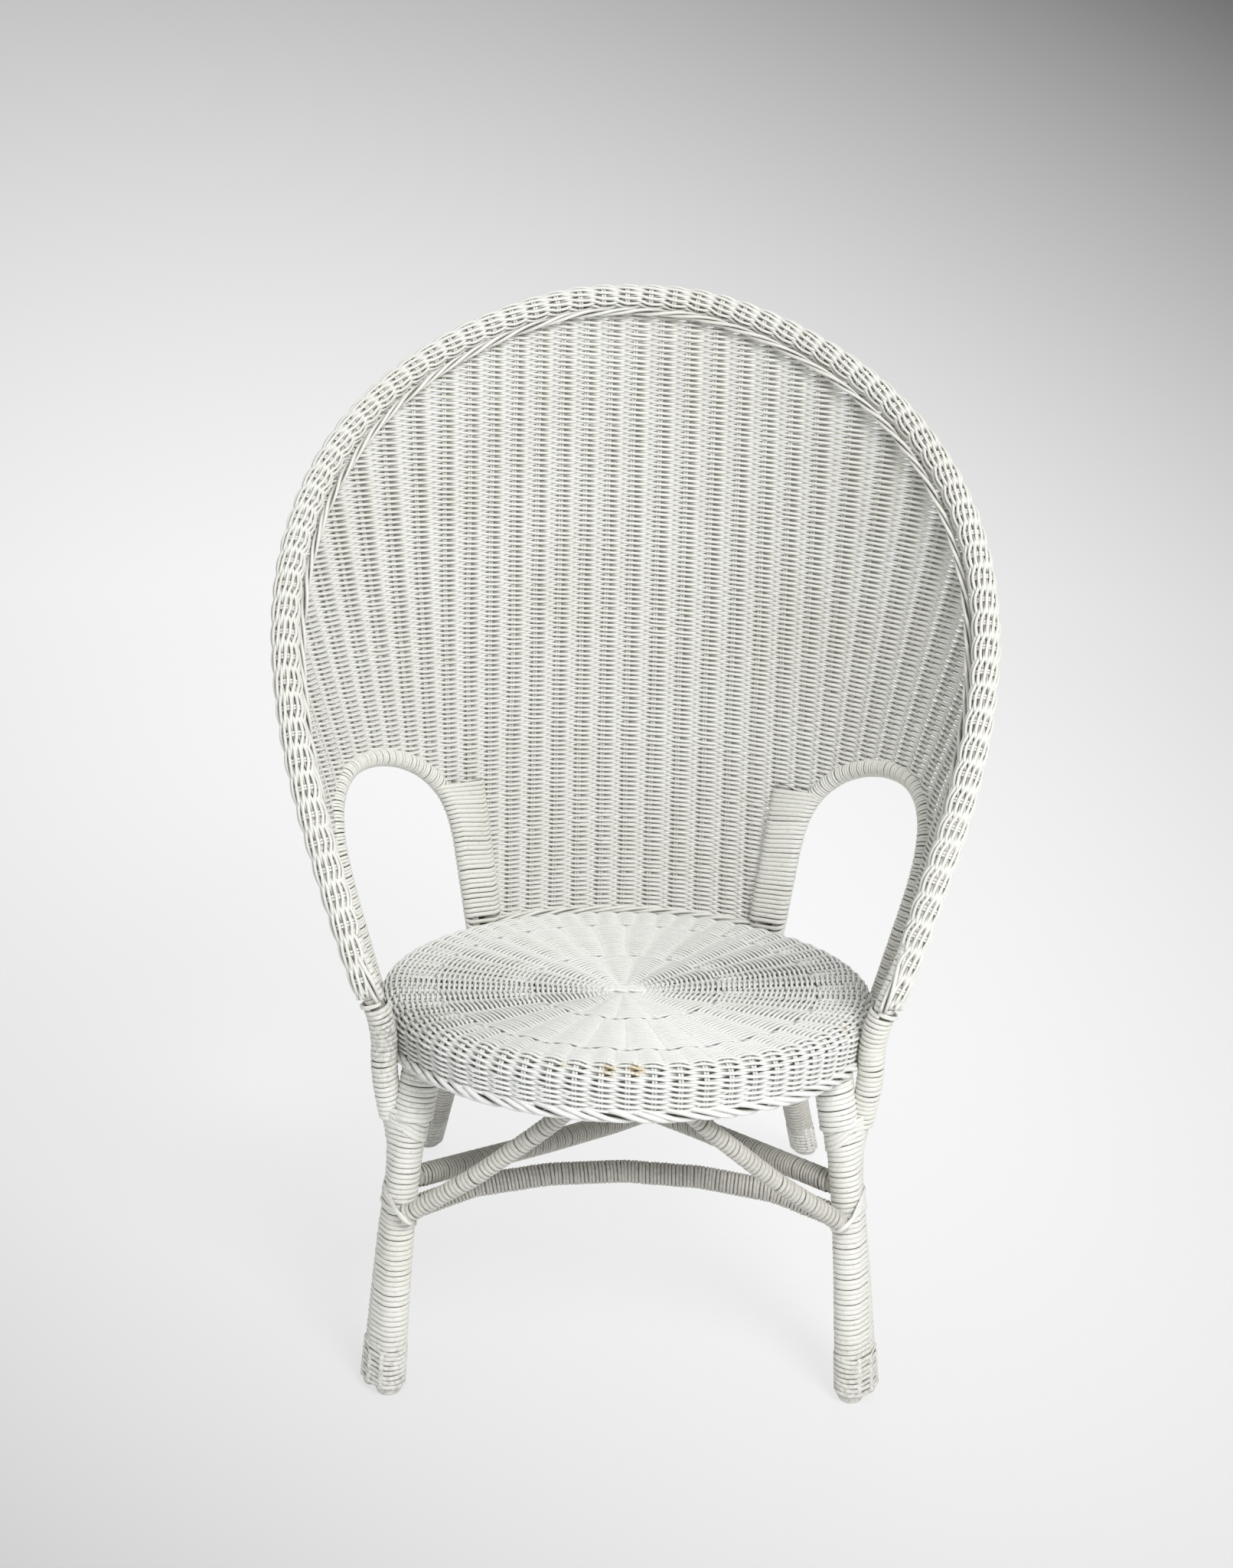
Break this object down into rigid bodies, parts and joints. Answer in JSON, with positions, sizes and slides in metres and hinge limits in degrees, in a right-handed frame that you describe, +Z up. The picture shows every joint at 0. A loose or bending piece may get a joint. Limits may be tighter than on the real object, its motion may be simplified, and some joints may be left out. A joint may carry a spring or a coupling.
{
  "type": "peacock chair",
  "caption": "White-painted wicker armchair: round woven seat, cane-bound splayed legs and a tall fan-shaped back with an open arch at each arm and a thick rolled rim.",
  "frame": {"origin": "on the floor, under the middle of the chair's box", "axes": "+Z up, -Y the way the sitter faces, +X to the right in a view from the front"},
  "size_m": [0.748, 0.6687, 1.097],
  "materials": {
    "pole": "bent rattan pole under warm white paint",
    "weave": "woven round reed under warm white paint",
    "cane": "wound split cane under warm white paint, soiled in the gaps",
    "nail": "plain steel nail"
  },
  "bodies": {
    "root": {"seat_hoop": "pole", "rim_hoop": "pole", "left_front_leg": "pole", "left_arm_post": "pole", "left_rear_leg": "pole", "left_arch_hoop": "pole", "left_front_brace": "pole", "right_front_leg": "pole", "right_arm_post": "pole", "right_rear_leg": "pole", "right_arch_hoop": "pole", "right_front_brace": "pole", "upper_cross_stretcher": "pole", "lower_cross_stretcher": "pole", "front_stretcher": "pole", "seat_weave": "weave", "seat_border": "weave", "rim_roll": "weave", "back_panel": "weave", "rim_braid": "weave", "left_front_leg_winding": "cane", "left_front_leg_top_winding": "cane", "left_back_post_winding": "cane", "left_arch_wrap": "cane", "left_rear_leg_wrap": "cane", "left_front_foot_cap": "cane", "left_rear_foot_cap": "cane", "left_front_brace_wrap": "cane", "right_front_leg_winding": "cane", "right_front_leg_top_winding": "cane", "right_back_post_winding": "cane", "right_arch_wrap": "cane", "right_rear_leg_wrap": "cane", "right_front_foot_cap": "cane", "right_rear_foot_cap": "cane", "right_front_brace_wrap": "cane", "upper_cross_stretcher_wrap": "cane", "lower_cross_stretcher_wrap": "cane", "front_stretcher_wrap": "cane", "left_arm_post_nail": "nail", "left_rear_leg_nail": "nail", "left_arch_rear_nail": "nail", "left_arch_front_nail": "nail", "right_arm_post_nail": "nail", "right_rear_leg_nail": "nail", "right_arch_rear_nail": "nail", "right_arch_front_nail": "nail"}
  },
  "joints": []
}
